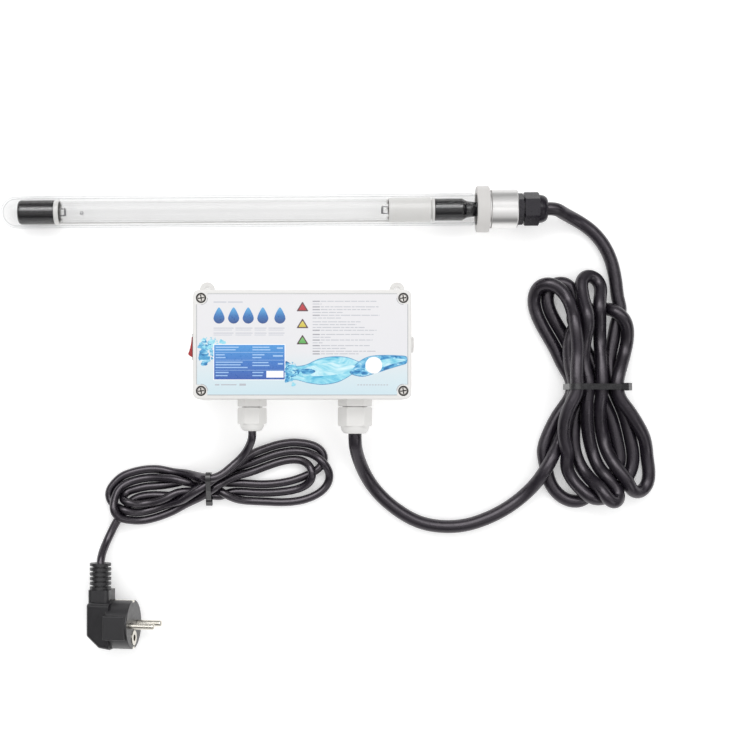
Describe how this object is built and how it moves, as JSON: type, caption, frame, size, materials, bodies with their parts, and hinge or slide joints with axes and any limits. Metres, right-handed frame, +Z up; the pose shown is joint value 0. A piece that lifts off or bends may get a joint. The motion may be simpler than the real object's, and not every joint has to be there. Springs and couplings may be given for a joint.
{
  "type": "uv clarifier",
  "caption": "Immersion UV-C clarifier: lamp in a domed quartz sleeve with screwed head, ballast box with rocker switch, coiled leads and earthed plug.",
  "frame": {"origin": "centre of the ballast box's back face, on the floor the set lies on", "axes": "+X along the box towards its vent plug and along the lamp towards its head; +Y away from the cable glands; +Z up from the floor through the lid"},
  "size_m": [0.4979, 0.3489, 0.0554],
  "materials": {
    "box_white": "satin moulded",
    "label_print": "printed film",
    "gasket_rubber": "matt",
    "screw_steel": "plain",
    "switch_black": "satin",
    "rocker_red": "gloss",
    "contact_brass": "plain",
    "gland_white": "satin moulded",
    "board_green": "lacquered laminate",
    "ferrite": "matt",
    "copper_wire": "enamelled copper",
    "capacitor_sleeve": "shrink sleeve",
    "capacitor_red": "dipped",
    "sink_aluminium": "extruded",
    "terminal_grey": "moulded",
    "wire_insulation": "insulated conductors",
    "quartz": "polished quartz",
    "lamp_black": "satin",
    "lamp_ceramic": "matt",
    "lead_nickel": "plain wire",
    "amalgam": "dull",
    "head_metal": "turned",
    "nut_grey": "matt",
    "washer_white": "slippery plastic",
    "gland_black": "moulded",
    "cable_rubber": "satin rubber",
    "tie_black": "moulded",
    "plug_black": "moulded",
    "pin_nickel": "nickel plated"
  },
  "bodies": {
    "fixed_set": {"enclosure_base": "box_white", "switch_housing": "switch_black", "switch_terminals": "contact_brass", "vent_plug": "gland_white", "mains_gland_body": "gland_white", "mains_gland_locknut": "gland_white", "lamp_gland_body": "gland_white", "lamp_gland_locknut": "gland_white", "ballast_board": "board_green", "board_screws": "screw_steel", "inductor_core": "ferrite", "inductor_winding": "copper_wire", "filter_choke": "copper_wire", "bulk_capacitor": "capacitor_sleeve", "film_capacitors": "capacitor_red", "heat_sink": "sink_aluminium", "power_transistors": "switch_black", "terminal_block": "terminal_grey", "terminal_screws": "screw_steel", "mains_conductors": "wire_insulation", "lamp_conductors": "wire_insulation", "switch_conductors": "wire_insulation", "lamp_socket": "lamp_black", "socket_contacts": "contact_brass", "head_body": "head_metal", "head_gland_body": "gland_black", "lamp_cable": "cable_rubber", "mains_cable": "cable_rubber", "lamp_cable_tie": "tie_black", "mains_cable_tie": "tie_black", "plug_body": "plug_black", "plug_pins": "pin_nickel", "plug_earth_contacts": "pin_nickel"},
    "lid": {"enclosure_lid": "box_white", "lid_gasket": "gasket_rubber", "lid_label": "label_print"},
    "screw_tl": {"lid_screw_tl": "screw_steel"},
    "screw_tr": {"lid_screw_tr": "screw_steel"},
    "screw_bl": {"lid_screw_bl": "screw_steel"},
    "screw_br": {"lid_screw_br": "screw_steel"},
    "rocker": {"power_rocker": "rocker_red"},
    "mains_seal": {"mains_gland_seal": "gasket_rubber"},
    "mains_nut": {"mains_gland_nut": "gland_white"},
    "outlet_seal": {"lamp_gland_seal": "gasket_rubber"},
    "outlet_nut": {"lamp_gland_nut": "gland_white"},
    "head_seal": {"head_gland_seal": "gasket_rubber"},
    "head_nut": {"head_gland_nut": "gland_black"},
    "sleeve_packing": {"slip_washer": "washer_white", "sleeve_o_ring": "gasket_rubber"},
    "ring_nut": {"sleeve_nut": "nut_grey"},
    "sleeve": {"quartz_sleeve": "quartz"},
    "lamp": {"lamp_tube": "quartz", "lamp_end_cap": "lamp_black", "lamp_end_ring": "lamp_ceramic", "lamp_filaments": "lead_nickel", "amalgam_spot": "amalgam", "lamp_return_wire": "lead_nickel", "lamp_base": "lamp_ceramic", "lamp_pins": "contact_brass"}
  },
  "joints": [
    {"name": "rocker_tip", "type": "hinge", "parent": "fixed_set", "child": "rocker", "pos_m": [-0.079, -0.0009, 0.026], "axis": [0, 0, 1], "range_deg": [0, 24]},
    {"name": "lid_lift", "type": "slide", "parent": "fixed_set", "child": "lid", "axis": [0, 0, 1], "range_m": [0, 0.045]},
    {"name": "screw_turn_tl", "type": "hinge", "parent": "lid", "child": "screw_tl", "pos_m": [-0.074, 0.034, 0.05], "axis": [0, 0, 1], "range_deg": [0, 90]},
    {"name": "screw_turn_tr", "type": "hinge", "parent": "lid", "child": "screw_tr", "pos_m": [0.074, 0.034, 0.05], "axis": [0, 0, 1], "range_deg": [0, 90]},
    {"name": "screw_turn_bl", "type": "hinge", "parent": "lid", "child": "screw_bl", "pos_m": [-0.074, -0.034, 0.05], "axis": [0, 0, 1], "range_deg": [0, 90]},
    {"name": "screw_turn_br", "type": "hinge", "parent": "lid", "child": "screw_br", "pos_m": [0.074, -0.034, 0.05], "axis": [0, 0, 1], "range_deg": [0, 90]},
    {"name": "mains_nut_travel", "type": "slide", "parent": "fixed_set", "child": "mains_seal", "axis": [0, -1, 0], "range_m": [0, 0.00225]},
    {"name": "mains_nut_turn", "type": "hinge", "parent": "mains_seal", "child": "mains_nut", "pos_m": [-0.0375, -0.055, 0.0275], "axis": [0, -1, 0], "range_deg": [0, 541]},
    {"name": "outlet_nut_travel", "type": "slide", "parent": "fixed_set", "child": "outlet_seal", "axis": [0, -1, 0], "range_m": [0, 0.00225]},
    {"name": "outlet_nut_turn", "type": "hinge", "parent": "outlet_seal", "child": "outlet_nut", "pos_m": [0.0395, -0.055, 0.0275], "axis": [0, -1, 0], "range_deg": [0, 541]},
    {"name": "head_nut_travel", "type": "slide", "parent": "fixed_set", "child": "head_seal", "axis": [0.9999, 0.005, 0.0156], "range_m": [0, 0.00225]},
    {"name": "head_nut_turn", "type": "hinge", "parent": "head_seal", "child": "head_nut", "pos_m": [0.17, 0.10387, 0.01806], "axis": [0.9999, 0.005, 0.0156], "range_deg": [0, 541]},
    {"name": "ring_nut_travel", "type": "slide", "parent": "fixed_set", "child": "sleeve_packing", "axis": [-0.9999, -0.005, -0.0156], "range_m": [0, 0.006]},
    {"name": "ring_nut_turn", "type": "hinge", "parent": "sleeve_packing", "child": "ring_nut", "pos_m": [0.136, 0.1037, 0.01753], "axis": [-0.9999, -0.005, -0.0156], "range_deg": [0, 1441]},
    {"name": "sleeve_withdraw", "type": "slide", "parent": "fixed_set", "child": "sleeve", "axis": [-0.9999, -0.005, -0.0156], "range_m": [0, 0.375]},
    {"name": "lamp_unplug", "type": "slide", "parent": "fixed_set", "child": "lamp", "axis": [-0.9999, -0.005, -0.0156], "range_m": [0, 0.0065]}
  ],
  "couplings": [
    {"joint": "mains_nut_turn", "follows": "mains_nut_travel", "rad_per_m": 4188.8},
    {"joint": "outlet_nut_turn", "follows": "outlet_nut_travel", "rad_per_m": 4188.8},
    {"joint": "head_nut_turn", "follows": "head_nut_travel", "rad_per_m": 4188.8},
    {"joint": "ring_nut_turn", "follows": "ring_nut_travel", "rad_per_m": 4188.8}
  ]
}
